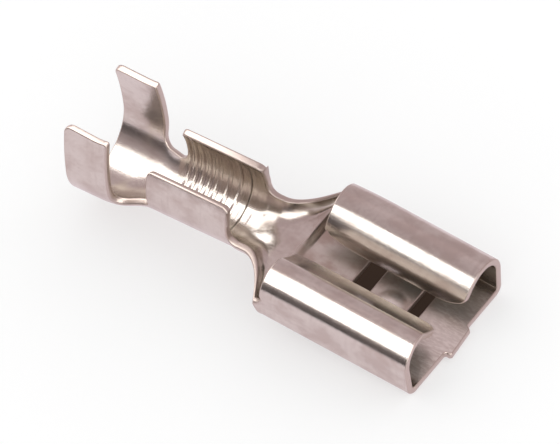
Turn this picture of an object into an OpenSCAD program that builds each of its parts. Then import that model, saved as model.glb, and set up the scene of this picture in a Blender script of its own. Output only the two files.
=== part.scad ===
// Female spade terminal for a 6.3 x 0.8 mm tab, stamped and folded from one tinned brass strip.
// X runs along the wire towards the mouth, Y across the sheet and Z up.
// The origin is on the axis of the wire crimp, where its walls end and the neck begins.

/* [Strip] */
// Thickness of the strip
sheet_t = 0.35; // [0.3:0.01:0.4]
// How far the receptacle dips towards its mouth, in degrees
dip = 6; // [3:0.5:8]

/* [Tab] */
// Thickness of the tab that is pushed in
tab_t = 0.8; // [0.5:0.05:0.9]

/* [Receptacle] */
// Width over both rolls
receptacle_w = 7.6; // [7.3:0.1:8]
// Height over the rolls
roll_h = 2.8; // [2.7:0.05:3.1]
// Length of the rolls along the floor
roll_len = 8.2; // [7.4:0.1:9]
// Outer radius over the top of a roll
roll_r = 1.15; // [1:0.05:1.3]
// How far the sheet is turned over the top of a roll, in degrees
roll_turn = 139; // [132:1:144]
// How far the leaf turns back after that, in degrees
leaf_back = 15; // [8:1:20]
// Outward lean of the side walls, in degrees
wall_lean = 2.5; // [0:0.5:4]
// Outer radius of the fold between floor and wall
fold_r = 0.45; // [0.42:0.01:0.55]
// How far the front edge of a wing is cut back at its tip
mouth_cut = 0.55; // [0.3:0.05:0.8]
// Length of the rounded lead-in at the leaves' front corners
lead_len = 0.8; // [0.4:0.1:1.5]
// Width of that lead-in
lead_w = 0.45; // [0.3:0.05:0.6]
// How much lower the rolls are at their rear, where the neck draws them in
rear_draw = 0.16; // [0:0.02:0.24]
// Length over which the rolls are drawn in
draw_len = 2.4; // [1.5:0.1:3]
// How far the rolls' rear edges stand back from the end of the neck
rear_back = 0.12; // [0:0.02:0.2]

/* [Floor] */
// Width of the two slots across the floor
slot_w = 3.8; // [3:0.1:4.4]
// Length of the slot near the mouth
front_slot_len = 0.6; // [0.4:0.05:0.8]
// Distance from the mouth to the front slot
front_slot_x = 2.15; // [1.9:0.05:2.3]
// Length of the bridge between the slots
bridge_len = 2.05; // [1.8:0.05:2.2]
// Length of the slot near the neck
rear_slot_len = 0.95; // [0.7:0.05:1.1]
// Distance from the front slot to the dimple's rim
dimple_gap = 0.12; // [0.05:0.01:0.3]
// Radius of the dimple's rim on the bridge
dimple_r = 0.75; // [0.6:0.05:0.8]
// Height of the dimple over the floor
dimple_h = 0.22; // [0.15:0.01:0.3]
// Width of the carrier stub left on the front edge
stub_w = 1.8; // [1.4:0.1:2.4]
// Length of the stub on its longer side
stub_len = 0.34; // [0.3:0.02:0.45]
// How much shorter the sheared stub is on its other side
stub_skew = 0.14; // [0:0.02:0.2]

/* [Neck] */
// Length from the wire crimp to the rolls
neck_len = 2.98; // [2.7:0.02:3.4]
// Distance from the rolls back to the middle of the bend that makes the receptacle dip
bend_back = 1.33; // [1.1:0.01:1.5]
// Length over which that bend is spread
bend_len = 2.4; // [1.6:0.1:2.6]
// Height of the neck's edges over the underside
neck_h = 1.35; // [1.2:0.05:1.5]
// Height of the edges where the flare meets the rolls
flare_h = 1; // [0.9:0.05:1.1]
// Length of the straight neck before the flare
straight_len = 0.74; // [0.5:0.05:0.8]
// How far the flare reaches its full width before the rolls
flare_end = 0.4; // [0.4:0.02:0.6]
// Outward lean of the walls half way along the flare, in degrees
flare_lean = 10; // [4:1:14]
// Step in the floor that stops the tab
stop_h = 0.3; // [0.2:0.02:0.35]
// Length of the slope of that step
stop_len = 0.42; // [0.36:0.02:0.5]
// Distance from the foot of that slope to the rolls
stop_gap = 0.12; // [0.06:0.02:0.2]
// Radius in the corners where walls rise from a low edge
corner_r = 0.5; // [0.4:0.02:0.6]

/* [Wire crimp] */
// Length of the wire crimp
wire_len = 4.47; // [4:0.01:5]
// Bore of the round bottom of the wire crimp
wire_bore = 3; // [2.8:0.05:3.1]
// Height of the wire crimp
wire_h = 3.43; // [3.2:0.01:3.6]
// Width over its top edges, where the walls have closed in
wire_top_w = 3.04; // [2.9:0.02:3.4]
// Number of grooves that grip the strands
grooves = 6; // [3:1:7]
// Width of a groove
groove_w = 0.2; // [0.15:0.01:0.25]
// Spacing of the grooves
groove_step = 0.39; // [0.36:0.01:0.45]
// Depth of a groove
groove_d = 0.07; // [0.04:0.01:0.1]
// Distance from the rear edge to the first groove
groove_start = 0.6; // [0.4:0.05:0.8]
// Height over the axis at which the grooves end
groove_top = 0.75; // [0.4:0.05:1]

/* [Insulation crimp] */
// Length of the insulation crimp
ear_len = 2.36; // [2:0.02:2.8]
// Outer radius of its round bottom
ear_r = 2.5; // [2.3:0.05:2.7]
// Height of the ears over their own bottom
ear_h = 5.5; // [5:0.1:5.9]
// Width over the ears' tips, where they have closed in a little
ear_top_w = 4.34; // [4:0.02:4.6]
// How far the ears' bottom lies under the wire crimp's
ear_drop = 0.53; // [0.3:0.01:0.7]
// Length over which the bottom drops from the wire crimp to the ears
drop_len = 2.4; // [2:0.1:3]
// Length of the low stretch between the two crimps
notch_len = 1.61; // [1.4:0.01:1.9]
// Height of the edges along that stretch
notch_h = 1.08; // [0.95:0.01:1.2]
// Radius in the notch's corners at the wire crimp
notch_wire_r = 0.4; // [0.3:0.02:0.5]
// Radius in the notch's corners at the ears
notch_ear_r = 0.6; // [0.5:0.02:0.9]

/* [Corners] */
// Radius of the ears' top corners
ear_corner = 0.4; // [0.2:0.05:0.8]
// Radius of the wire crimp's top corners
wire_corner = 0.3; // [0.1:0.05:0.6]

/* [Hidden] */
$fn = 96;

tin = [0.8, 0.76, 0.74];
eps = 0.01;

wire_r = wire_bore / 2 + sheet_t;
bore_skin = 0.02;
pivot_x = neck_len - bend_back;
bend_start = pivot_x - bend_len / 2;
mouth_p = neck_len + roll_len;
// How far under the start of the round top the neck runs into the walls
root_gap = 0.1;
// How late along the neck its round bottom tightens into folds
fold_rate = 1.5;
// The part of the neck over which its floor rises to the stop
stop_rise = 0.4;
flare_p = neck_len - flare_end;
rear_slot_x = front_slot_x + front_slot_len + bridge_len;
dimple_x = front_slot_x + front_slot_len + dimple_gap + dimple_r;

// The columns of the sheet's grid on one side: floor, fold, low wall, high wall, roll top and leaf
cols = [4, 8, 5, 2, 20, 5];
low_cols = cols[0] + cols[1] + cols[2];
notch_cols = cols[0] + cols[1];
all_cols = low_cols + cols[3] + cols[4] + cols[5];
// The shares of a low edge and of a crimp's wall at which the grid's bands end
low_share = 0.4;
wall_shares = [0.2, 0.8];

function lerp(a, b, t) = a + (b - a) * t;
function within(t) = max(0, min(1, t));
function ease(t) = (1 - cos(180 * within(t))) / 2;
// Height that a round corner of radius r adds at distance d from the edge that it runs into
function corner(d, r) = d < r ? r - sqrt(max(0, r * r - pow(r - d, 2))) : 0;

// A section is a list of [length, turn] stretches, walked from the middle of the sheet on its outer skin.
function arc(r, turn) = [r * turn * PI / 180, turn];
function chord(l, a) = abs(a) < eps ? l : l * sin(a / 2) / (a * PI / 360);
function walk(p, l, a) = [
    p[0] + chord(l, a) * cos(p[2] + a / 2),
    p[1] + chord(l, a) * sin(p[2] + a / 2),
    p[2] + a
];
// The place [y, z, heading] at distance s along the stretches
function at(stretches, s, p = [0, 0, 0], k = 0) =
    let (l = stretches[k][0], a = stretches[k][1])
    s <= l || k == len(stretches) - 1
        ? walk(p, s, a * s / max(l, eps))
        : at(stretches, s - l, walk(p, l, a), k + 1);

// Distances along the section of all columns, from the distances at the ends of the six bands
function column_places(marks) = [
    0,
    for (b = [0:5])
        for (i = [1:cols[b]])
            lerp(b == 0 ? 0 : marks[b - 1], marks[b], i / cols[b])
];

// Receptacle: flat floor, tight fold, leaning wall, round top and the leaf that bears on the tab.
// The value u runs from 0 at the rear of the rolls to 1 where they have their full height.
function wall_top(u) = roll_h - rear_draw * pow(1 - u, 2) - roll_r * (1 + sin(wall_lean));
wall_low = fold_r * (1 - sin(wall_lean));
function wall_l(u) = (wall_top(u) - wall_low) / cos(wall_lean);
floor_half = receptacle_w / 2 - roll_r * (1 - cos(wall_lean)) - wall_l(1) * sin(wall_lean)
    - fold_r * cos(wall_lean);
fold_s = floor_half + arc(fold_r, 90 - wall_lean)[0];
roll_end = 90 - wall_lean + roll_turn;
tip_heading = roll_end - leaf_back;
function leaf_l(u) =
    let (
        roll_end_z = wall_top(u) + roll_r * (sin(wall_lean) - cos(roll_end)),
        tip_z = sheet_t + tab_t + rear_draw * pow(1 - u, 2) - sheet_t * cos(tip_heading)
    )
    (roll_end_z - tip_z) / -sin((roll_end + tip_heading) / 2);
function receptacle_stretches(u) = [
    [floor_half, 0],
    arc(fold_r, 90 - wall_lean),
    [wall_l(u), 0],
    arc(roll_r, roll_turn),
    [leaf_l(u), -leaf_back]
];
root_z = flare_h + corner_r;
root_s = fold_s + (min(root_z, wall_top(0) - root_gap) - wall_low) / cos(wall_lean);
function receptacle_marks(u) =
    let (wall_s = fold_s + wall_l(u), roll_s = wall_s + arc(roll_r, roll_turn)[0])
    [floor_half, fold_s, root_s, wall_s, roll_s, roll_s + leaf_l(u)];
tip_s = receptacle_marks(1)[5];

// Crimp: a half-round bottom and walls that close in to the width over its top edges
function crimp_turn(r, top_w, h) = 2 * atan((r - top_w / 2) / (h - r));
function crimp_wall_r(r, top_w, h) = (h - r) / sin(crimp_turn(r, top_w, h));
function crimp_stretches(r, top_w, h) = [
    arc(r, 90),
    arc(crimp_wall_r(r, top_w, h), crimp_turn(r, top_w, h))
];
function rim_angle(r, h) = acos(1 - h / r);
function crimp_marks(r, top_w, h, rim_h) =
    let (
        half = r * PI / 2,
        wall = crimp_stretches(r, top_w, h)[1][0],
        rim = r * rim_angle(r, rim_h) * PI / 180
    )
    [low_share * rim, rim, half, half + wall_shares[0] * wall, half + wall_shares[1] * wall, half + wall];

// Neck: its bend, lean and floor height run from the crimp's to the receptacle's
function neck_edge_y(p) =
    let (v = within((p - straight_len) / (flare_p - straight_len)))
    lerp(wire_r, receptacle_w / 2, v * v);
function neck_edge_z(p) =
    let (v = within((p - straight_len) / (flare_p - straight_len)))
    lerp(neck_h, flare_h, v * v * v) + corner(p, wire_r - neck_h) + corner(neck_len - p, corner_r);
function neck_floor_z(p) =
    stop_h * ease(p / (stop_rise * neck_len)) * (1 - ease((p - neck_len + stop_len + stop_gap) / stop_len));
function neck_lean(p) = wall_lean * p / neck_len + flare_lean * pow(sin(180 * p / neck_len), 2);
function neck_fold_r(p) = lerp(wire_r, fold_r, pow(p / neck_len, fold_rate));
function neck_station(p) =
    let (
        r = neck_fold_r(p),
        lean = neck_lean(p),
        rise = neck_edge_z(p) - neck_floor_z(p),
        full = r * (1 - sin(lean)),
        turn = rise < full ? acos(1 - rise / r) : 90 - lean,
        wall = max(0, (rise - full) / cos(lean)),
        flat = max(0, neck_edge_y(p) - r * sin(turn) - wall * sin(lean)),
        edge = flat + r * turn * PI / 180 + wall,
        u = p / neck_len,
        first = lerp(wire_marks[0], flat, sqrt(u)),
        second = lerp(first, edge, lerp(0.75, (fold_s - floor_half) / (root_s - floor_half), u))
    )
    [p, neck_floor_z(p), [[flat, 0], arc(r, turn), [wall, 0]], [first, second, edge, edge, edge, edge]];

// Behind the wire crimp, at distance d from it, the bottom widens and drops towards the ears.
function drop_part(d) = ease(d / drop_len);
function rear_r(d) = lerp(wire_r, ear_r, ease(d / notch_len));
function trough_station(d) =
    let (
        r = rear_r(d),
        h = notch_h + corner(d, notch_wire_r) + corner(notch_len - d, notch_ear_r),
        edge = r * rim_angle(r, h) * PI / 180
    )
    [-wire_len - d, -ear_drop * drop_part(d), [arc(r, 90)], [low_share * edge, edge, edge, edge, edge, edge]];
// The ears' tips stay level while their bottom drops.
function ear_station(d) =
    let (r = rear_r(d), h = ear_h - ear_drop * (1 - drop_part(d)))
    [
        -wire_len - d,
        -ear_drop * drop_part(d),
        crimp_stretches(r, ear_top_w, h),
        crimp_marks(r, ear_top_w, h, notch_h + notch_ear_r)
    ];

wire_stretches = crimp_stretches(wire_r, wire_top_w, wire_h);
wire_marks = crimp_marks(wire_r, wire_top_w, wire_h, notch_h + notch_wire_r);

neck_steps = 30;
trough_steps = 12;
ear_steps = 4;
draw_steps = 4;
ear_rear = -wire_len - notch_len - ear_len;
ear_tip_z = ear_h - ear_drop - wire_r;
// Stations along the strip: [distance, floor height, stretches, marks]
stations = [
    ear_station(notch_len + ear_len),
    for (i = [ear_steps:-1:0]) ear_station(lerp(notch_len, drop_len, i / ear_steps)),
    for (i = [trough_steps - 1:-1:1]) trough_station(notch_len * i / trough_steps),
    [-wire_len, 0, wire_stretches, wire_marks],
    [0, 0, wire_stretches, wire_marks],
    for (i = [1:neck_steps - 1]) neck_station(neck_len * i / neck_steps),
    for (i = [0:draw_steps])
        let (u = i / draw_steps)
        [neck_len + u * draw_len, 0, receptacle_stretches(u), receptacle_marks(u)],
    [mouth_p, 0, receptacle_stretches(1), receptacle_marks(1)]
];
last = len(stations) - 1;
// How many columns on each side carry sheet between a station and the next
trough_first = ear_steps + 1;
wire_span = trough_first + trough_steps;
neck_first = wire_span + 1;
roll_first = neck_first + neck_steps;
function reach(i) =
    i < 0 || i >= last ? 0
    : i < trough_first || i == wire_span || i >= roll_first ? all_cols
    : i < wire_span ? notch_cols
    : low_cols;

// The strip's underside line bends down around the pivot: [x, z, pitch] at distance p
function line(p) =
    let (r = bend_len / 2 / tan(dip / 2), a = dip * (p - bend_start) / bend_len)
    a <= 0 ? [p, -wire_r, 0]
    : a >= dip ? [pivot_x + (p - pivot_x) * cos(dip), -wire_r - (p - pivot_x) * sin(dip), dip]
    : [bend_start + r * sin(a), -wire_r - r * (1 - cos(a)), a];
// The rolls' rear edges stand back a little. The wings' front edges are cut back evenly along the sheet,
// and the floor carries the stub.
function edge_shift(i, c, s) =
    i == roll_first ? rear_back * within((c - low_cols) / cols[3])
    : i < last ? 0
    : c <= cols[0] ? stub_len + eps
    : -mouth_cut * (s - floor_half) / (tip_s - floor_half);
function skin(i, depth) =
    let (st = stations[i], places = column_places(st[3]))
    [
        for (c = [-all_cols:all_cols])
            let (
                s = places[abs(c)],
                q = at(st[2], s),
                o = line(st[0] + edge_shift(i, abs(c), s)),
                side = c < 0 ? -1 : 1,
                y = side * (q[0] - depth * sin(q[2])),
                z = st[1] + q[1] + depth * cos(q[2])
            )
            [o[0] + z * sin(o[2]), y, o[1] + z * cos(o[2])]
    ];
function skin_depth(i) = i == wire_span || i == wire_span + 1 ? sheet_t + bore_skin : sheet_t;

row = 2 * all_cols + 1;
function outer(i, c) = i * row + c + all_cols;
function inner(i, c) = (len(stations) + i) * row + c + all_cols;

module strip() {
    points = [
        for (i = [0:last]) each skin(i, 0),
        for (i = [0:last]) each skin(i, skin_depth(i))
    ];
    faces = [
        for (i = [0:last - 1]) each [
            for (c = [-reach(i):reach(i) - 1]) each [
                [outer(i, c), outer(i + 1, c), outer(i + 1, c + 1)],
                [outer(i, c), outer(i + 1, c + 1), outer(i, c + 1)],
                [inner(i, c), inner(i + 1, c + 1), inner(i + 1, c)],
                [inner(i, c), inner(i, c + 1), inner(i + 1, c + 1)]
            ],
            let (c = reach(i)) each [
                [outer(i, c), outer(i + 1, c), inner(i + 1, c)],
                [outer(i, c), inner(i + 1, c), inner(i, c)],
                [outer(i, -c), inner(i + 1, -c), outer(i + 1, -c)],
                [outer(i, -c), inner(i, -c), inner(i + 1, -c)]
            ]
        ],
        for (i = [0:last])
            for (c = [-all_cols:all_cols - 1])
                let (
                    k = max(abs(c + 0.5) + 0.5, 1),
                    before = reach(i - 1) >= k,
                    after = reach(i) >= k
                )
                if (before != after) each (after ? [
                    [outer(i, c), outer(i, c + 1), inner(i, c + 1)],
                    [outer(i, c), inner(i, c + 1), inner(i, c)]
                ] : [
                    [outer(i, c), inner(i, c + 1), outer(i, c + 1)],
                    [outer(i, c), inner(i, c), inner(i, c + 1)]
                ])
    ];
    polyhedron(points, faces, convexity = 8);
}

// Places its children on the receptacle's underside, with X from the mouth's edge
module from_mouth() {
    o = line(mouth_p);
    translate([o[0], 0, o[1]])
        rotate([0, dip, 0])
            children();
}

// What is sheared away beside and in front of the carrier stub
module front_shear() {
    from_mouth()
        translate([0, 0, -1])
            linear_extrude(roll_h + 2)
                polygon([
                    [0, -receptacle_w],
                    [0, -stub_w / 2],
                    [stub_len, -stub_w / 2],
                    [stub_len - stub_skew, stub_w / 2],
                    [0, stub_w / 2],
                    [0, receptacle_w],
                    [2, receptacle_w],
                    [2, -receptacle_w]
                ]);
}

// What rounds the front corner of the leaf on one side, clear of the floor under it
module leaf_corner(side) {
    tip_y = at(receptacle_stretches(1), tip_s)[0];
    from_mouth()
        translate([-mouth_cut - lead_len, 0, sheet_t + tab_t / 2])
            linear_extrude(roll_h)
                scale([1, side])
                    polygon([
                        [0, tip_y - 1],
                        for (a = [90:-10:0]) [lead_len * cos(a), tip_y + lead_w * (1 - sin(a))],
                        [lead_len + 1, tip_y + lead_w],
                        [lead_len + 1, tip_y - 1]
                    ]);
}

module slot(x, length) {
    from_mouth()
        translate([-x - length, -slot_w / 2, -1])
            cube([length, slot_w, 1 + 2 * sheet_t]);
}

dimple_ball = (dimple_r * dimple_r + dimple_h * dimple_h) / (2 * dimple_h);
module dimple(rise, radius) {
    from_mouth()
        translate([-dimple_x, 0, rise - dimple_ball])
            sphere(radius);
}

module groove(x) {
    r = wire_r - sheet_t + groove_d;
    wall_r = crimp_wall_r(wire_r, wire_top_w, wire_h) - sheet_t + groove_d;
    a_top = asin(groove_top / wall_r);
    translate([x, 0, 0])
        rotate([90, 0, 90])
            linear_extrude(groove_w)
                polygon([
                    for (a = [180:6:360]) [r * cos(a), r * sin(a)],
                    for (i = [1:3]) let (a = a_top * i / 3)
                        [r - wall_r * (1 - cos(a)), wall_r * sin(a)],
                    for (i = [3:-1:1]) let (a = a_top * i / 3)
                        [wall_r * (1 - cos(a)) - r, wall_r * sin(a)]
                ]);
}

// What rounds a pair of upper corners: side is 1 for the front corners and -1 for the rear ones
module corner_round(x, z, side, r) {
    translate([x, receptacle_w, z])
        rotate([90, 0, 0])
            linear_extrude(2 * receptacle_w)
                difference() {
                    translate([side > 0 ? -r : -1, -r])
                        square([r + 1, r + 1]);
                    translate([-side * r, -r])
                        circle(r);
                    translate([side > 0 ? -2 * r : 0, -2 * r])
                        square([2 * r, r]);
                    translate([side > 0 ? -2 * r : r, -2 * r])
                        square([r, 2 * r]);
                }
}

module spade_terminal() {
    color(tin)
        difference() {
            union() {
                strip();
                intersection() {
                    dimple(sheet_t + dimple_h, dimple_ball);
                    from_mouth()
                        translate([-dimple_x - dimple_r, -dimple_r, sheet_t / 2])
                            cube([2 * dimple_r, 2 * dimple_r, 1]);
                }
            }
            front_shear();
            leaf_corner(1);
            leaf_corner(-1);
            slot(front_slot_x, front_slot_len);
            slot(rear_slot_x, rear_slot_len);
            dimple(dimple_h, dimple_ball);
            rotate([0, -90, 0])
                translate([0, 0, -eps])
                    cylinder(r = wire_bore / 2, h = wire_len + 2 * eps);
            for (i = [0:grooves - 1])
                groove(-wire_len + groove_start + i * groove_step);
            corner_round(-wire_len, wire_h - wire_r, -1, wire_corner);
            corner_round(0, wire_h - wire_r, 1, wire_corner);
            corner_round(ear_rear, ear_tip_z, -1, ear_corner);
            corner_round(ear_rear + ear_len, ear_tip_z, 1, ear_corner / 2);
        }
}

spade_terminal();
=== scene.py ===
# Female spade terminal, 6.3 mm: one strip of tinned brass, cut flat as a blank and then folded up.
import bpy
import math
import numpy as np
from mathutils import Matrix, Vector
from mathutils.geometry import delaunay_2d_cdt


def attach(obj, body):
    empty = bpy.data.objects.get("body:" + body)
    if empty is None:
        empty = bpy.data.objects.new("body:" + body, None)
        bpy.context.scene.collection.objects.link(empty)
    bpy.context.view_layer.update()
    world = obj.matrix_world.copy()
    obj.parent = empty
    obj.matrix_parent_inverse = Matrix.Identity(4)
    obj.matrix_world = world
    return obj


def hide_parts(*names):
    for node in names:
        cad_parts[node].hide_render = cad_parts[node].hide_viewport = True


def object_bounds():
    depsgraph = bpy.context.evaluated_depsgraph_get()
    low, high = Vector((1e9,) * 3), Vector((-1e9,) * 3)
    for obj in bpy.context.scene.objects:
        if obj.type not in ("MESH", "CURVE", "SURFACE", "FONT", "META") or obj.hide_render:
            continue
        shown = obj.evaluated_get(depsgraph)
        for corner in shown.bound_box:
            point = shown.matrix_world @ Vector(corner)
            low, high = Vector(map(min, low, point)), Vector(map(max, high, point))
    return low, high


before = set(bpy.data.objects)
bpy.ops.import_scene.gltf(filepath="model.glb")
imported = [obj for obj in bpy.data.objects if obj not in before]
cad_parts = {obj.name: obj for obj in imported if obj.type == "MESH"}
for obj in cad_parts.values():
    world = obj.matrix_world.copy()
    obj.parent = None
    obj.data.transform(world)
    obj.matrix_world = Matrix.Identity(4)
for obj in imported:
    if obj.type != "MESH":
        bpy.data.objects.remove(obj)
cadLow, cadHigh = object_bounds()
print("frame loaded")

mm = 0.001
deg = math.pi / 180


def linear(hexColour):
    # sRGB hex to the linear colour that the shaders take
    parts = [int(hexColour[i:i + 2], 16) / 255 for i in (1, 3, 5)]
    return [c / 12.92 if c <= 0.04045 else ((c + 0.055) / 1.055) ** 2.4 for c in parts] + [1.0]


def addNode(tree, kind, inputs=None, **settings):
    # one node, its settings, and what goes into its inputs: a link or a plain value
    node = tree.nodes.new(kind)
    for name, value in settings.items():
        setattr(node, name, value)
    for name, value in (inputs or {}).items():
        if isinstance(value, bpy.types.NodeSocket):
            tree.links.new(value, node.inputs[name])
        else:
            node.inputs[name].default_value = value
    return node


def newMaterial(name):
    material = bpy.data.materials.new(name)
    material.use_nodes = True
    material.node_tree.nodes.clear()
    return material, material.node_tree


def lerp(a, b, k):
    return a + (b - a) * k


def ease(k):
    return (1 - np.cos(np.pi * np.clip(k, 0, 1))) / 2


def fillet(distance, radius):
    # how far a concave fillet stands over an edge, at this distance from its root
    d = np.clip(distance, 0, radius)
    return radius - np.sqrt(np.maximum(0, radius ** 2 - (radius - d) ** 2))


# the strip, in mm. p runs along it from the wire crimp's front edge, s across its outer skin
sheet = {"thick": 0.35, "leastFace": 2e-7, "dip": 6.0, "grid": 0.1}
roll = {"width": 7.6, "height": 2.8, "length": 8.2, "radius": 1.15, "lean": 2.5, "fold": 0.45,
        "drawLength": 2.4, "rearRound": 0.16}
# the two rolls came out of the press a little unlike each other: near is -Y and far is +Y
nearRoll = {"turn": 139.0, "leafTurn": -15.0, "leafGap": 0.8, "mouthCut": 0.55, "leadLength": 0.8,
            "leadWidth": 0.55, "rearDraw": 0.05, "rearBack": -0.1}
farRoll = {"turn": 131.5, "leafTurn": 40.0, "leafGap": 0.6, "mouthCut": 0.3, "leadLength": 1.7,
           "leadWidth": 0.75, "rearDraw": 0.16, "rearBack": 0.12}
stub = {"width": 1.8, "length": 0.34, "skew": 0.14, "root": 0.09, "corner": 0.1}
neck = {"length": 2.98, "bendBack": 1.33, "bendLength": 2.4, "height": 1.35, "flareHeight": 1.0,
        "straight": 0.74, "flareEnd": 0.4, "lean": 10.0, "stopHeight": 0.3, "stopLength": 0.42,
        "stopGap": 0.12, "corner": 0.5, "rise": 0.62,
        "beadAt": (0.6, 0.45), "beadReach": (1.1, 1.25), "beadHeight": 0.13}
wireCrimp = {"length": 4.47, "radius": 1.85, "height": 3.43, "topWidth": 3.04, "corner": 0.3}
ears = {"length": 2.36, "radius": 2.5, "height": 5.5, "topWidth": 4.34, "drop": 0.53,
        "dropLength": 2.4, "rearCorner": 0.4, "frontCorner": 0.2, "lift": 0.005}
notch = {"length": 1.61, "height": 1.08, "wireFillet": 0.4, "earFillet": 0.6}
slots = {"width": 3.8, "frontStart": 2.15, "frontLength": 0.6, "bridge": 2.05, "rearLength": 0.95,
         "corner": 0.12}
dimple = {"radius": 0.75, "height": 0.22, "gap": 0.12}
serration = {"at": (-4.17, -3.78, -3.39, -3.0, -2.6, -2.05, -1.46, -0.97, -0.45), "width": 0.2, "depth": 0.08,
             "top": 1.2}
rim = {"rings": [(0.08, 0.0), (0.045, 0.011), (0.018, 0.035), (0.004, 0.07), (0.0, 0.11), (0.0, 0.22),
                 (0.004, 0.27), (0.018, 0.31), (0.042, 0.34), (0.075, 0.35)], "step": 0.06}

mouthP = neck["length"] + roll["length"]
pivotP = neck["length"] - neck["bendBack"]
rearP = -wireCrimp["length"] - notch["length"] - ears["length"]
lean = roll["lean"] * deg
wallLow = roll["fold"] * (1 - math.sin(lean))
rootHeight = neck["flareHeight"] + neck["corner"]


def ofRoll(side, name):
    return np.where(np.asarray(side) > 0, farRoll[name], nearRoll[name])


def wallTop(side, u):
    # u is 0 at the rear of the rolls and 1 where they have their full height
    draw = ofRoll(side, "rearDraw") * (1 - u) ** 2
    return roll["height"] - draw - roll["radius"] * (1 + math.sin(lean))


def wallLength(side, u):
    return (wallTop(side, u) - wallLow) / math.cos(lean)


floorHalf = (roll["width"] / 2 - roll["radius"] * (1 - math.cos(lean))
             - float(wallLength(1, 1)) * math.sin(lean) - roll["fold"] * math.cos(lean))
foldS = floorHalf + roll["fold"] * (math.pi / 2 - lean)
rootS = foldS + (min(rootHeight, float(wallTop(1, 0)) - 0.1) - wallLow) / math.cos(lean)


def rollArc(side):
    return roll["radius"] * ofRoll(side, "turn") * deg


def leafLength(side, u):
    rollEnd = math.pi / 2 - lean + ofRoll(side, "turn") * deg
    tipHeading = rollEnd + ofRoll(side, "leafTurn") * deg
    top = wallTop(side, u) + roll["radius"] * (math.sin(lean) - np.cos(rollEnd))
    tip = (sheet["thick"] * (1 - np.cos(tipHeading)) + ofRoll(side, "leafGap")
           + ofRoll(side, "rearDraw") * (1 - u) ** 2)
    half = (tipHeading - rollEnd) / 2
    return (top - tip) / -np.sin((rollEnd + tipHeading) / 2) * half / np.sin(half)


def tipS(side, u):
    return float(foldS + wallLength(side, u) + rollArc(side) + leafLength(side, u))


def crimpTurn(radius, topWidth, height):
    return 2 * np.arctan((radius - topWidth / 2) / (height - radius))


def crimpWallRadius(radius, topWidth, height):
    return (height - radius) / np.sin(crimpTurn(radius, topWidth, height))


def neckSection(p):
    flareP = neck["length"] - neck["flareEnd"]
    v = np.clip((p - neck["straight"]) / (flareP - neck["straight"]), 0, 1)
    edgeY = lerp(wireCrimp["radius"], roll["width"] / 2, v * v)
    edgeZ = (lerp(neck["height"], neck["flareHeight"], v ** 3)
             + fillet(p, wireCrimp["radius"] - neck["height"])
             + fillet(neck["length"] - p, neck["corner"]))
    stopBack = (p - neck["length"] + neck["stopLength"] + neck["stopGap"]) / neck["stopLength"]
    floorZ = neck["stopHeight"] * ease(p / (neck["rise"] * neck["length"])) * (1 - ease(stopBack))
    u = np.clip(p / neck["length"], 0, 1)
    leanHere = lean * u + neck["lean"] * deg * np.sin(np.pi * u) ** 2
    radius = lerp(wireCrimp["radius"], roll["fold"], u ** 1.5)
    rise = edgeZ - floorZ
    full = radius * (1 - np.sin(leanHere))
    turn = np.where(rise < full, np.arccos(np.clip(1 - rise / radius, -1, 1)), np.pi / 2 - leanHere)
    wall = np.maximum(0, (rise - full) / np.cos(leanHere))
    flat = np.maximum(0, edgeY - radius * np.sin(turn) - wall * np.sin(leanHere))
    flat = lerp(flat, floorHalf, u ** 12)
    return floorZ, flat, radius, turn, wall


def neckEdge(p):
    floorZ, flat, radius, turn, wall = neckSection(p)
    return flat + radius * turn + wall


def rearRadius(d):
    return lerp(wireCrimp["radius"], ears["radius"], ease(d / notch["length"]))


def section(p, s):
    # five stretches of the half section, each with a length and a turn, and the floor's height
    lengths = np.zeros((5, len(p)))
    turns = np.zeros((5, len(p)))
    floorZ = np.zeros(len(p))
    side = np.where(s < 0, -1, 1)
    front = (p >= neck["length"]) | ((p > neck["length"] - 0.3) & (np.abs(s) > rootS))
    side = side[front]
    u = np.clip((p[front] - neck["length"]) / roll["drawLength"], 0, 1)
    lengths[0, front] = floorHalf
    lengths[1, front] = foldS - floorHalf
    turns[1, front] = np.pi / 2 - lean
    lengths[2, front] = wallLength(side, u)
    lengths[3, front] = rollArc(side)
    turns[3, front] = ofRoll(side, "turn") * deg
    lengths[4, front] = leafLength(side, u)
    turns[4, front] = ofRoll(side, "leafTurn") * deg
    middle = (p >= 0) & ~front
    floorZ[middle], flat, radius, turn, wall = neckSection(p[middle])
    lengths[0, middle] = flat
    lengths[1, middle] = radius * turn
    turns[1, middle] = turn
    lengths[2, middle] = wall
    rear = p < 0
    d = np.maximum(0, -wireCrimp["length"] - p[rear])
    drop = ease(d / ears["dropLength"])
    floorZ[rear] = -ears["drop"] * drop
    atEars = d >= notch["length"] / 2
    radius = rearRadius(d)
    top = np.where(atEars, ears["topWidth"], wireCrimp["topWidth"])
    height = np.where(atEars, ears["height"] - ears["drop"] * (1 - drop), wireCrimp["height"])
    lengths[1, rear] = radius * np.pi / 2
    turns[1, rear] = np.pi / 2
    turns[2, rear] = crimpTurn(radius, top, height)
    lengths[2, rear] = crimpWallRadius(radius, top, height) * turns[2, rear]
    return lengths, turns, floorZ


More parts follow.
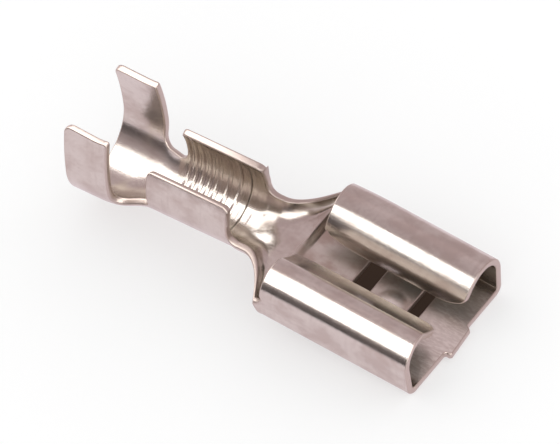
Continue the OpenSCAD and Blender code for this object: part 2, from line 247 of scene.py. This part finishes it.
def fold(p, s, depth):
    # a point of the flat blank goes to its place in the folded strip; depth is how far in it lies
    side = np.where(s < 0, -1.0, 1.0)
    rest = np.abs(s)
    lengths, turns, z = section(p, s)
    y = np.zeros(len(p))
    heading = np.zeros(len(p))
    for k in range(5):
        run = np.minimum(rest, lengths[k]) if k < 4 else rest
        turn = turns[k] * run / np.maximum(lengths[k], 1e-6)
        chord = run * np.sinc(turn / 2 / np.pi)
        y += chord * np.cos(heading + turn / 2)
        z += chord * np.sin(heading + turn / 2)
        heading += turn
        rest = rest - run
    y = side * (y - depth * np.sin(heading))
    z = z + depth * np.cos(heading)
    dip = sheet["dip"] * deg
    start = pivotP - neck["bendLength"] / 2
    bend = neck["bendLength"] / 2 / math.tan(dip / 2)
    a = np.clip(dip * (p - start) / neck["bendLength"], 0, dip)
    past = np.maximum(0, p - start - neck["bendLength"])
    x = np.minimum(p, start) + bend * np.sin(a) + past * math.cos(dip)
    low = -wireCrimp["radius"] - ears["lift"] * np.minimum(p, 0) - bend * (1 - np.cos(a)) - past * math.sin(dip)
    return np.stack([x + z * np.sin(a), y, low + z * np.cos(a)], 1)


def arcPoints(centre, radii, fromDegrees, toDegrees, count=9):
    return [(centre[0] + radii[0] * math.cos(a * deg), centre[1] + radii[1] * math.sin(a * deg))
            for a in np.linspace(fromDegrees, toDegrees, count)]


def halfBlank(side):
    # the blank's edge on one side, from the middle of its front to the middle of its rear
    half = stub["width"] / 2

    def stubP(s):
        return mouthP + stub["length"] - stub["skew"] * (side * s + half) / (2 * half)

    c = stub["corner"]
    root = stub["root"]
    edge = [(stubP(0), 0), (stubP(half - c), half - c)]
    edge += [(stubP(half) - c, half), (mouthP + root, half)]
    edge += arcPoints((mouthP + root, half + root), (root, root), 270, 180)
    shape = farRoll if side > 0 else nearRoll
    leadS = tipS(side, 1) - shape["leadWidth"]
    frontP = mouthP - shape["mouthCut"]
    edge += [(mouthP, floorHalf), (frontP, leadS)]
    leadP = frontP - shape["leadLength"]
    edge += arcPoints((leadP, leadS), (shape["leadLength"], shape["leadWidth"]), 8, 90, 14)
    rollRear = neck["length"] + shape["rearBack"]
    r = roll["rearRound"]
    for p in np.arange(leadP - 0.3, rollRear + r, -0.3):
        edge.append((p, tipS(side, np.clip((p - neck["length"]) / roll["drawLength"], 0, 1))))
    edge += arcPoints((rollRear + r, tipS(side, 0) - r), (r, r), 90, 180, 5)
    edge += [(rollRear, foldS + float(wallLength(side, 0))), (neck["length"], rootS)]
    along = neck["length"] * (1 - np.linspace(0, 1, 90) ** 2)
    along = along[(neckEdge(along) < rootS - 0.04) & (along > 0)]
    edge += list(zip(along, neckEdge(along)))
    wireHalf = wireCrimp["radius"] * math.pi / 2
    wireTop = wireHalf + (crimpTurn(wireCrimp["radius"], wireCrimp["topWidth"], wireCrimp["height"])
                          * crimpWallRadius(wireCrimp["radius"], wireCrimp["topWidth"], wireCrimp["height"]))
    r = wireCrimp["corner"]
    edge += [(0, wireHalf)]
    edge += arcPoints((-r, wireTop - r), (r, r), 0, 90)
    edge += arcPoints((-wireCrimp["length"] + r, wireTop - r), (r, r), 90, 180)
    d = notch["length"] * (1 - np.cos(np.linspace(0, np.pi, 60))) / 2
    high = (notch["height"] + fillet(d, notch["wireFillet"])
            + fillet(notch["length"] - d, notch["earFillet"]))
    edge += list(zip(-wireCrimp["length"] - d, rearRadius(d) * np.arccos(1 - high / rearRadius(d))))
    earP = -wireCrimp["length"] - notch["length"]

    def earTop(p):
        lengths, turns, z = section(np.array([p]), np.array([side]))
        return float(lengths[1, 0] + lengths[2, 0])

    r = ears["frontCorner"]
    edge += arcPoints((earP - r, earTop(earP - 0.01) - r), (r, r), 0, 90)
    r = ears["rearCorner"]
    edge += arcPoints((rearP + r, earTop(rearP) - r), (r, r), 90, 180)
    edge.append((rearP, 0))
    return [(p, side * s) for p, s in edge]


def evenSteps(loop, step):
    # the same closed edge with no step longer than this
    out = []
    for a, b in zip(loop, loop[1:] + loop[:1]):
        a, b = np.array(a), np.array(b)
        count = max(1, math.ceil(float(np.linalg.norm(b - a)) / step))
        if np.linalg.norm(b - a) > 1e-5:
            out += [a + (b - a) * i / count for i in range(count)]
    return np.array(out)


def inwardMitre(loop):
    # the direction into the sheet at each point of a loop that has the sheet on its left
    before = loop - np.roll(loop, 1, 0)
    after = np.roll(loop, -1, 0) - loop
    normals = []
    for d in (before, after):
        d = d / np.linalg.norm(d, axis=1)[:, None]
        normals.append(np.stack([-d[:, 1], d[:, 0]], 1))
    mitre = normals[0] + normals[1]
    mitre /= np.linalg.norm(mitre, axis=1)[:, None]
    stretch = np.clip(np.sum(mitre * normals[0], 1), 0.6, 1)
    return mitre / stretch[:, None]


def slotLoop(start, length):
    c = slots["corner"]
    rear, front, half = mouthP - start - length, mouthP - start, slots["width"] / 2
    loop = []
    for p, s, a in ((rear + c, half - c, 90), (rear + c, c - half, 180),
                    (front - c, c - half, 270), (front - c, half - c, 360)):
        loop += arcPoints((p, s), (c, c), a, a + 90, 5)
    return loop[::-1]


rearSlotStart = slots["frontStart"] + slots["frontLength"] + slots["bridge"]
dimpleP = mouthP - (slots["frontStart"] + slots["frontLength"] + dimple["gap"] + dimple["radius"])
farEdge, nearEdge = halfBlank(1), halfBlank(-1)
blankLoop = nearEdge[::-1][:-1] + farEdge[:-1]
loops = [evenSteps(loop, rim["step"]) for loop in (
    blankLoop, slotLoop(slots["frontStart"], slots["frontLength"]),
    slotLoop(rearSlotStart, slots["rearLength"]))]


def signedArea(loop):
    q = np.roll(loop, -1, 0)
    return float(np.sum(loop[:, 0] * q[:, 1] - q[:, 0] * loop[:, 1]) / 2)


loops[0] = loops[0] if signedArea(loops[0]) > 0 else loops[0][::-1]
loops[1:] = [loop if signedArea(loop) < 0 else loop[::-1] for loop in loops[1:]]
print("blank", round(sum(signedArea(loop) for loop in loops), 2), "mm2")


def depthAt(p, s, depth):
    # what the press leaves in the sheet: the dimple, the serrations and their witness outside
    share = depth / sheet["thick"]
    far = np.hypot(p - dimpleP, s) / (dimple["radius"] * 1.1)
    depth = depth + dimple["height"] * (1 - ease(far))
    far = np.hypot((p - neck["beadAt"][0]) / neck["beadReach"][0], (s - neck["beadAt"][1]) / neck["beadReach"][1])
    depth = depth + neck["beadHeight"] * (1 - ease(far))
    radius = wireCrimp["radius"] - sheet["thick"]
    top = wireCrimp["radius"] * (math.pi / 2 + serration["top"] / radius)
    across = ease((top - np.abs(s)) / 0.25)
    for centre in serration["at"]:
        near = np.abs(p - centre) / (serration["width"] / 2)
        groove = serration["depth"] * across * (1 - ease((near - 0.55) / 0.7))
        depth = depth - groove * np.clip(share, 0, 1) ** 2
    return depth


def place(p, s, depth):
    return fold(p, s, depthAt(p, s, depth))


def skinNormals(p, s, depth, outward):
    e = 0.012
    along = place(p + e, s, depth) - place(p - e, s, depth)
    across = place(p, s + e, depth) - place(p, s - e, depth)
    normal = np.cross(along, across) * outward
    return normal / np.maximum(np.linalg.norm(normal, axis=1), 1e-9)[:, None]


# the strip's mesh: two skins of triangles with rounded sheared edges between them
g = sheet["grid"]
pLines = np.concatenate([np.arange(rearP, -4.1, g), np.arange(-4.1, -1.5, g / 2),
                         np.arange(-1.5, 2.2, g), np.arange(2.2, 3.1, g / 2), np.arange(3.1, mouthP + 0.5, g)])
sLines = np.arange(-9.6, 9.65, g)
def inBlank(p, s, rings, clear=0.0):
    # which points lie inside these rings, at least this far from them
    a = np.concatenate(rings)
    b = np.concatenate([np.roll(loop, -1, 0) for loop in rings])
    kept = np.zeros(len(p), bool)
    for start in range(0, len(p), 2000):
        part = slice(start, start + 2000)
        px, sx = p[part, None], s[part, None]
        crosses = (a[:, 1] > sx) != (b[:, 1] > sx)
        level = np.where(crosses, b[:, 1] - a[:, 1], 1)
        at = a[:, 0] + (sx - a[:, 1]) * (b[:, 0] - a[:, 0]) / level
        inside = np.sum(crosses & (at > px), 1) % 2 == 1
        if clear:
            inside &= np.hypot(px - a[:, 0], sx - a[:, 1]).min(1) > clear
        kept[part] = inside
    return kept


gridP, gridS = [a.ravel() for a in np.meshgrid(pLines, sLines, indexing="ij")]
keep = inBlank(gridP, gridS, loops, 0.16)
gridP, gridS = gridP[keep], gridS[keep]
print("grid points", len(gridP))

points, faces, faceKinds = [], [], []
mitres = [inwardMitre(loop) for loop in loops]
ringStarts = []
for inset, depth in rim["rings"]:
    ringStarts.append(len(points))
    for loop, mitre in zip(loops, mitres):
        points += [(*q, depth) for q in loop + mitre * inset]
gridStarts = [len(points), len(points) + len(gridP)]
for depth in (0.0, sheet["thick"]):
    points += [(p, s, depth) for p, s in zip(gridP, gridS)]
points = np.array(points)
ringCount = sum(len(loop) for loop in loops)

loopStarts = np.cumsum([0] + [len(loop) for loop in loops])
for ring in range(len(rim["rings"]) - 1):
    a, b = ringStarts[ring], ringStarts[ring + 1]
    for first, last in zip(loopStarts[:-1], loopStarts[1:]):
        for i in range(first, last):
            j = i + 1 if i + 1 < last else first
            faces.append((a + i, a + j, b + j, b + i))
            faceKinds.append(1)

for ring, gridStart, flip in ((0, gridStarts[0], True), (len(rim["rings"]) - 1, gridStarts[1], False)):
    own = list(range(ringStarts[ring], ringStarts[ring] + ringCount))
    own += list(range(gridStart, gridStart + len(gridP)))
    flat = [Vector(points[i, :2]) for i in own]
    edges = []
    for first, last in zip(loopStarts[:-1], loopStarts[1:]):
        edges += [(i, i + 1 if i + 1 < last else first) for i in range(first, last)]
    made = delaunay_2d_cdt(flat, edges, [], 0, 1e-7, True)
    source = np.array([own[ids[0]] if ids else -1 for ids in made[3]])
    triangles = source[np.array(made[2])]
    triangles = triangles[triangles.min(1) >= 0]
    corners = points[triangles][:, :, :2]
    middle = corners.mean(1)
    rings = [points[own[a]:own[b - 1] + 1, :2] for a, b in zip(loopStarts[:-1], loopStarts[1:])]
    # three points along a straight edge can make a face with no area, which would be a stray one
    one, two = corners[:, 1] - corners[:, 0], corners[:, 2] - corners[:, 0]
    area = np.abs(one[:, 0] * two[:, 1] - one[:, 1] * two[:, 0]) / 2
    triangles = triangles[inBlank(middle[:, 0], middle[:, 1], rings) & (area > sheet["leastFace"])]
    if flip:
        triangles = triangles[:, ::-1]
    faces += [tuple(int(i) for i in t) for t in triangles]
    faceKinds += [0] * len(triangles)
    print("skin", len(triangles), "triangles,", int(np.sum(source < 0)), "stray points")

place3 = place(points[:, 0], points[:, 1], points[:, 2])
mesh = bpy.data.meshes.new("spadeTerminalSheet")
mesh.from_pydata([tuple(q) for q in place3 * mm], [], faces)
mesh.update()
blankPlace = mesh.attributes.new("blankPlace", "FLOAT_VECTOR", "POINT")
blankPlace.data.foreach_set("vector", points.astype(np.float32).ravel())
mesh.polygons.foreach_set("material_index", faceKinds)
mesh.polygons.foreach_set("use_smooth", [True] * len(faces))
normals = np.zeros(len(points) * 3)
mesh.vertices.foreach_get("normal", normals)
normals = normals.reshape(-1, 3)
first = slice(0, ringCount)
outerGrid = slice(gridStarts[0], gridStarts[1])
lastRing = slice(ringStarts[-1], ringStarts[-1] + ringCount)
innerGrid = slice(gridStarts[1], len(points))
for part, depth, way in ((first, 0.0, -1), (outerGrid, 0.0, -1),
                         (lastRing, sheet["thick"], 1), (innerGrid, sheet["thick"], 1)):
    q = points[part]
    normals[part] = skinNormals(q[:, 0], q[:, 1], np.full(len(q), depth), way)
mesh.normals_split_custom_set_from_vertices([tuple(n) for n in normals])
terminal = bpy.data.objects.new("spadeTerminalSheet", mesh)
bpy.context.scene.collection.objects.link(terminal)
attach(terminal, "root")
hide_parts("spade_terminal")
print("strip folded", len(mesh.vertices), "vertices")

# the finishes. Their patterns lie on the flat blank, so that they follow the sheet round its folds
# the darker brown colour for the receptacle's floor is painted shade
tin = {"colour": "#DAD5CB", "dull": "#C8BEB4", "floorShade": "#AC9484", "polished": "#F0EBE3",
       "roughness": 0.18, "floorRoughness": 0.36,
       # patch, grain and line sizes in mm, along the strip and across it. Real matt tin has a grain
       # of 0.02 mm and rolling lines 0.03 mm apart: both are drawn coarser, so that they show
       "clouds": (1.7, 1.3), "grain": (0.2, 0.16), "lines": (2.4, 0.08), "bands": (0.3, 4.0),
       "scuffs": (0.4, 0.13),
       "relief": 0.010}
sheared = {"colour": "#C6BAB0", "roughness": 0.38, "lineStep": 0.09, "relief": 0.006}


def tinPlatedBrass():
    # cold-rolled brass strip, matt-tin electroplated and then pressed: a warm grey metal with
    # soft-edged highlights where the die burnished it, and a duller floor, with painted shade, where it lay flat
    material, tree = newMaterial("tinPlatedBrass")
    blank = addNode(tree, "ShaderNodeAttribute", attribute_name="blankPlace").outputs["Vector"]
    noise = {}
    for name in ("clouds", "grain", "lines", "bands", "scuffs"):
        along, across = tin[name]
        scaled = addNode(tree, "ShaderNodeVectorMath", {0: blank, 1: (1 / along, 1 / across, 40)},
                         operation="MULTIPLY")
        noise[name] = addNode(tree, "ShaderNodeTexNoise", {
            "Vector": scaled.outputs[0], "Scale": 1.0, "Detail": 3.0, "Roughness": 0.6}).outputs[0]

    # where the flat floor of the receptacle is, and its front end and polished dimple, where the painted floor
    # shade is left off
    axes = addNode(tree, "ShaderNodeSeparateXYZ", {0: blank})
    width = addNode(tree, "ShaderNodeMath", {0: axes.outputs[1]}, operation="ABSOLUTE")
    zone = 1.0
    for place, start, end in ((width.outputs[0], 3.3, 2.7), (axes.outputs[0], 1.9, 3.2),
                              (axes.outputs[2], 0.1, 0.25)):
        edge = addNode(tree, "ShaderNodeMapRange", {"Value": place, "From Min": start, "From Max": end},
                       interpolation_type="SMOOTHSTEP")
        zone = addNode(tree, "ShaderNodeMath", {0: zone, 1: edge.outputs[0]}, operation="MULTIPLY").outputs[0]
    fromDimple = addNode(tree, "ShaderNodeVectorMath", {0: blank, 1: (dimpleP, 0, sheet["thick"])},
                         operation="DISTANCE")
    onDimple = addNode(tree, "ShaderNodeMapRange", {"Value": fromDimple.outputs["Value"],
                       "From Min": dimple["radius"], "From Max": dimple["radius"] * 0.5},
                       interpolation_type="SMOOTHSTEP")
    atFront = addNode(tree, "ShaderNodeMapRange", {"Value": axes.outputs[0], "From Min": mouthP - 2.4,
                      "From Max": mouthP - 1.2}, interpolation_type="SMOOTHSTEP")
    light = addNode(tree, "ShaderNodeMath", {0: onDimple.outputs[0], 1: atFront.outputs[0]},
                    operation="MAXIMUM")

    clouds = addNode(tree, "ShaderNodeMapRange", {"Value": noise["clouds"], "From Min": 0.38,
                     "From Max": 0.66}, interpolation_type="SMOOTHSTEP")
    colour = addNode(tree, "ShaderNodeMix", {0: clouds.outputs[0], 6: linear(tin["colour"]),
                     7: linear(tin["dull"])}, data_type="RGBA")
    speckle = addNode(tree, "ShaderNodeMapRange", {"Value": noise["grain"], "From Min": 0.5,
                      "From Max": 0.75, "To Max": 0.45}, interpolation_type="SMOOTHSTEP")
    colour = addNode(tree, "ShaderNodeMix", {0: speckle.outputs[0], 6: colour.outputs[2],
                     7: linear(tin["dull"])}, data_type="RGBA")
    streak = addNode(tree, "ShaderNodeMapRange", {"Value": noise["bands"], "From Min": 0.5,
                     "From Max": 0.72, "To Max": 0.4}, interpolation_type="SMOOTHSTEP")
    colour = addNode(tree, "ShaderNodeMix", {0: streak.outputs[0], 6: colour.outputs[2],
                     7: linear(tin["dull"])}, data_type="RGBA")
    # painted shade: the floor inside the receptacle is darkened in cloudy patches, less at its front end and on
    # the dimple
    floorShade = addNode(tree, "ShaderNodeMapRange", {"Value": noise["clouds"], "From Min": 0.36,
                    "From Max": 0.62, "To Min": 0.0, "To Max": 0.5}, interpolation_type="SMOOTHSTEP")
    less = addNode(tree, "ShaderNodeMapRange", {"Value": light.outputs[0], "To Min": 1.0, "To Max": 0.25})
    floorShade = addNode(tree, "ShaderNodeMath", {0: floorShade.outputs[0], 1: less.outputs[0]}, operation="MULTIPLY")
    floorShade = addNode(tree, "ShaderNodeMath", {0: floorShade.outputs[0], 1: zone}, operation="MULTIPLY")
    colour = addNode(tree, "ShaderNodeMix", {0: floorShade.outputs[0], 6: colour.outputs[2],
                     7: linear(tin["floorShade"])}, data_type="RGBA")
    shine = addNode(tree, "ShaderNodeMath", {0: onDimple.outputs[0], 1: zone}, operation="MULTIPLY")
    colour = addNode(tree, "ShaderNodeMix", {0: shine.outputs[0], 6: colour.outputs[2],
                     7: linear(tin["polished"])}, data_type="RGBA")

    scuff = addNode(tree, "ShaderNodeMapRange", {"Value": noise["scuffs"], "From Min": 0.42,
                    "From Max": 0.62, "To Min": 0.45, "To Max": 1.0}, interpolation_type="SMOOTHSTEP")
    scuff = addNode(tree, "ShaderNodeMath", {0: scuff.outputs[0], 1: atFront.outputs[0]}, operation="MULTIPLY")
    scuff = addNode(tree, "ShaderNodeMath", {0: scuff.outputs[0], 1: zone}, operation="MULTIPLY")
    colour = addNode(tree, "ShaderNodeMix", {0: scuff.outputs[0], 6: colour.outputs[2],
                     7: linear(tin["polished"])}, data_type="RGBA")

    rough = addNode(tree, "ShaderNodeMapRange", {"Value": noise["clouds"], "From Min": 0.3,
                    "From Max": 0.8, "To Min": tin["roughness"] - 0.02, "To Max": tin["roughness"] + 0.1})
    rough = addNode(tree, "ShaderNodeMath", {0: zone, 1: tin["floorRoughness"] - tin["roughness"],
                    2: rough.outputs[0]}, operation="MULTIPLY_ADD")
    relief = addNode(tree, "ShaderNodeMath", {0: noise["lines"], 1: 0.6, 2: noise["grain"]},
                     operation="MULTIPLY_ADD")
    relief = addNode(tree, "ShaderNodeMath", {0: noise["bands"], 1: 0.8, 2: relief.outputs[0]},
                     operation="MULTIPLY_ADD")
    bump = addNode(tree, "ShaderNodeBump", {"Height": relief.outputs[0], "Strength": 0.35,
                   "Distance": tin["relief"] * mm})
    metal = addNode(tree, "ShaderNodeBsdfPrincipled", {
        "Base Color": colour.outputs[2], "Roughness": rough.outputs[0], "Metallic": 1.0,
        "Normal": bump.outputs[0]})
    addNode(tree, "ShaderNodeOutputMaterial", {"Surface": metal.outputs[0]})
    return material


def shearedBrassEdge():
    # the same strip cut in a die: drawn lines across its thickness, and the plating smeared over it
    material, tree = newMaterial("shearedBrassEdge")
    blank = addNode(tree, "ShaderNodeAttribute", attribute_name="blankPlace").outputs["Vector"]
    step = sheared["lineStep"]
    scaled = addNode(tree, "ShaderNodeVectorMath", {0: blank, 1: (1 / step, 1 / step, 1.5)},
                     operation="MULTIPLY")
    lines = addNode(tree, "ShaderNodeTexNoise", {"Vector": scaled.outputs[0], "Scale": 1.0, "Detail": 2.0})
    bump = addNode(tree, "ShaderNodeBump", {"Height": lines.outputs[0], "Strength": 0.3,
                   "Distance": sheared["relief"] * mm})
    metal = addNode(tree, "ShaderNodeBsdfPrincipled", {
        "Base Color": linear(sheared["colour"]), "Roughness": sheared["roughness"], "Metallic": 1.0,
        "Normal": bump.outputs[0]})
    addNode(tree, "ShaderNodeOutputMaterial", {"Surface": metal.outputs[0]})
    return material


mesh.materials.append(tinPlatedBrass())
mesh.materials.append(shearedBrassEdge())
print("materials")

# the studio, in mm: a white paper floor with a painted shadow under the slots, a glowing grey arch
# with painted shade that only the metal mirrors, and two long soft panels close over the terminal
studio = {"floorSize": 400.0, "floorColour": "#F6E8F1", "paintedShadowColour": "#463830", "paintedShadowHalf": (2.75, 2.6),
          "archRadius": 25.0, "archLength": 200.0, "archTint": (1.05, 0.85, 0.91),
          "archShades": {-90: 0.06, -74: 0.16, -62: 0.36, -20: 0.5, 15: 0.56, 32: 0.62, 47: 0.54,
                         62: 0.54, 90: 0.6},
          "skyLow": 2.2, "skyHigh": 0.5}
panels = {"stripPanel": {"at": (23.0, -6.35, 2.71), "turn": (0, 6, 0), "size": (52.0, 8.1), "strength": 2.4},
          "crimpPanel": {"at": (-24.0, -0.5, 7.65), "turn": (0, 6, 0), "size": (42.0, 8.0), "strength": 2.4}}


def stageSheet(name, vertices, quads, material):
    data = bpy.data.meshes.new(name)
    data.from_pydata([Vector(v) * mm for v in vertices], [], quads)
    data.materials.append(material)
    thing = bpy.data.objects.new(name, data)
    bpy.context.scene.collection.objects.link(thing)
    return thing


# the floor is white to the camera, a little darker to the metal, and has a painted shadow under the slots
slotsMiddle = mouthP - slots["frontStart"] - slots["frontLength"] - slots["bridge"] / 2 - 0.4
paper, tree = newMaterial("whitePaper")
path = addNode(tree, "ShaderNodeLightPath")
place = addNode(tree, "ShaderNodeTexCoord")
place = addNode(tree, "ShaderNodeVectorMath", {0: place.outputs["Object"],
                1: [-slotsMiddle * mm, 0, 0]}, operation="ADD")
place = addNode(tree, "ShaderNodeSeparateXYZ", {0: place.outputs[0]})
# painted shadow: a dark patch on the floor under the receptacle, which the slots show
paintedShadow = 1.0
for axis, reach in enumerate(studio["paintedShadowHalf"]):
    away = addNode(tree, "ShaderNodeMath", {0: place.outputs[axis]}, operation="ABSOLUTE")
    edge = addNode(tree, "ShaderNodeMapRange", {"Value": away.outputs[0], "From Min": reach * mm,
                   "From Max": (reach - 0.4) * mm}, interpolation_type="SMOOTHSTEP")
    paintedShadow = addNode(tree, "ShaderNodeMath", {0: paintedShadow, 1: edge.outputs[0]}, operation="MULTIPLY").outputs[0]
colour = addNode(tree, "ShaderNodeMix", {0: path.outputs["Is Camera Ray"], 6: linear(studio["floorColour"]),
                 7: (1, 1, 1, 1)}, data_type="RGBA")
colour = addNode(tree, "ShaderNodeMix", {0: paintedShadow, 6: colour.outputs[2],
                 7: linear(studio["paintedShadowColour"])}, data_type="RGBA")
matt = addNode(tree, "ShaderNodeBsdfDiffuse", {"Color": colour.outputs[2]})
glow = addNode(tree, "ShaderNodeEmission", {"Color": colour.outputs[2], "Strength": 0.95})
share = addNode(tree, "ShaderNodeMath", {0: path.outputs["Is Camera Ray"], 1: 0.45}, operation="MULTIPLY")
share = addNode(tree, "ShaderNodeMath", {0: path.outputs["Is Glossy Ray"], 1: 0.75,
                2: share.outputs[0]}, operation="MULTIPLY_ADD")
mix = addNode(tree, "ShaderNodeMixShader", {0: share.outputs[0], 1: matt.outputs[0], 2: glow.outputs[0]})
addNode(tree, "ShaderNodeOutputMaterial", {"Surface": mix.outputs[0]})
h = studio["floorSize"] / 2
ground = cadLow.z / mm
stageSheet("studioFloor", [(-h, -h, ground), (h, -h, ground), (h, h, ground), (-h, h, ground)],
           [(0, 1, 2, 3)], paper)

# the arch glows, with painted shade: darker low down at the sides, as the angle from straight up tells
glowingGreyArch, tree = newMaterial("glowingGreyArch")
place = addNode(tree, "ShaderNodeTexCoord")
place = addNode(tree, "ShaderNodeSeparateXYZ", {0: place.outputs["Object"]})
angle = addNode(tree, "ShaderNodeMath", {0: place.outputs[1], 1: place.outputs[2]}, operation="ARCTAN2")
angle = addNode(tree, "ShaderNodeMapRange", {0: angle.outputs[0], "From Min": -math.pi / 2,
                "From Max": math.pi / 2})
shades = addNode(tree, "ShaderNodeValToRGB", {0: angle.outputs[0]})
stops = shades.color_ramp.elements
for degrees, level in studio["archShades"].items():
    stop = stops[0] if degrees == -90 else stops[-1] if degrees == 90 else stops.new((degrees + 90) / 180)
    stop.color = [level * tint for tint in studio["archTint"]] + [1.0]
glow = addNode(tree, "ShaderNodeEmission", {"Color": shades.outputs[0], "Strength": 1.0})
addNode(tree, "ShaderNodeOutputMaterial", {"Surface": glow.outputs[0]})
archVerts, archQuads = [], []
for i in range(25):
    a = math.pi * i / 24
    for x in (-studio["archLength"] / 2, studio["archLength"] / 2):
        archVerts.append((x, -studio["archRadius"] * math.cos(a), ground + studio["archRadius"] * math.sin(a)))
    if i:
        archQuads.append((2 * i - 2, 2 * i - 1, 2 * i + 1, 2 * i))
arch = stageSheet("glowingArch", archVerts, archQuads, glowingGreyArch)
arch.visible_camera = arch.visible_diffuse = arch.visible_shadow = False

for name, panel in panels.items():
    lamp = bpy.data.lights.new(name, "AREA")
    lamp.shape = "RECTANGLE"
    lamp.size, lamp.size_y = (a * mm for a in panel["size"])
    lamp.energy = panel["strength"] * math.pi * lamp.size * lamp.size_y
    lamp.use_nodes = True
    tree = lamp.node_tree
    tree.nodes.clear()
    path = addNode(tree, "ShaderNodeLightPath")
    far = addNode(tree, "ShaderNodeMath", {0: path.outputs["Ray Depth"], 1: 2.5}, operation="GREATER_THAN")
    power = addNode(tree, "ShaderNodeMapRange", {"Value": far.outputs[0], "To Min": 1.0, "To Max": 0.38})
    light = addNode(tree, "ShaderNodeEmission", {"Strength": power.outputs[0]})
    addNode(tree, "ShaderNodeOutputLight", {"Surface": light.outputs[0]})
    lampObject = bpy.data.objects.new(name, lamp)
    lampObject.location = Vector(panel["at"]) * mm
    lampObject.rotation_euler = [a * deg for a in panel["turn"]]
    lampObject.visible_camera = lampObject.visible_diffuse = False
    bpy.context.scene.collection.objects.link(lampObject)

# the world is white behind the floor, and lights it more from the sides, so that shadows stay thin
world = bpy.data.worlds.new("whiteStudio")
bpy.context.scene.world = world
world.use_nodes = True
tree = world.node_tree
tree.nodes.clear()
path = addNode(tree, "ShaderNodeLightPath")
seen = path.outputs["Is Camera Ray"]
for ray in ("Is Glossy Ray", "Is Transmission Ray"):
    seen = addNode(tree, "ShaderNodeMath", {0: seen, 1: path.outputs[ray]}, operation="MAXIMUM").outputs[0]
sky = addNode(tree, "ShaderNodeTexCoord")
sky = addNode(tree, "ShaderNodeSeparateXYZ", {0: sky.outputs["Generated"]})
sky = addNode(tree, "ShaderNodeMapRange", {"Value": sky.outputs[2], "To Min": studio["skyLow"],
              "To Max": studio["skyHigh"]})
soft = addNode(tree, "ShaderNodeBackground", {"Color": (1, 1, 1, 1), "Strength": sky.outputs[0]})
white = addNode(tree, "ShaderNodeBackground", {"Color": (1, 1, 1, 1), "Strength": 1.0})
mix = addNode(tree, "ShaderNodeMixShader", {0: seen, 1: soft.outputs[0], 2: white.outputs[0]})
addNode(tree, "ShaderNodeOutputWorld", {"Surface": mix.outputs[0]})

# the camera has a long lens, so parallel edges stay parallel
view = {"azimuth": -49.865, "elevation": 49.615, "roll": -7.675, "aim": (2.397, -0.818, 1.395),
        "width": 25.45, "distance": 150.0}
camera = bpy.data.cameras.new("camera")
camera.type = "ORTHO"
camera.ortho_scale = view["width"] * mm
camera.clip_start = 0.001
camera.clip_end = 2.0
cameraObject = bpy.data.objects.new("camera", camera)
turn = (Matrix.Rotation((view["azimuth"] + 90) * deg, 4, "Z")
        @ Matrix.Rotation((90 - view["elevation"]) * deg, 4, "X") @ Matrix.Rotation(view["roll"] * deg, 4, "Z"))
back = turn.to_3x3() @ Vector((0, 0, 1))
cameraObject.matrix_world = Matrix.Translation((Vector(view["aim"]) + back * view["distance"]) * mm) @ turn
bpy.context.scene.collection.objects.link(cameraObject)
bpy.context.scene.camera = cameraObject
bpy.context.scene.view_settings.view_transform = "Standard"
print("studio and camera")
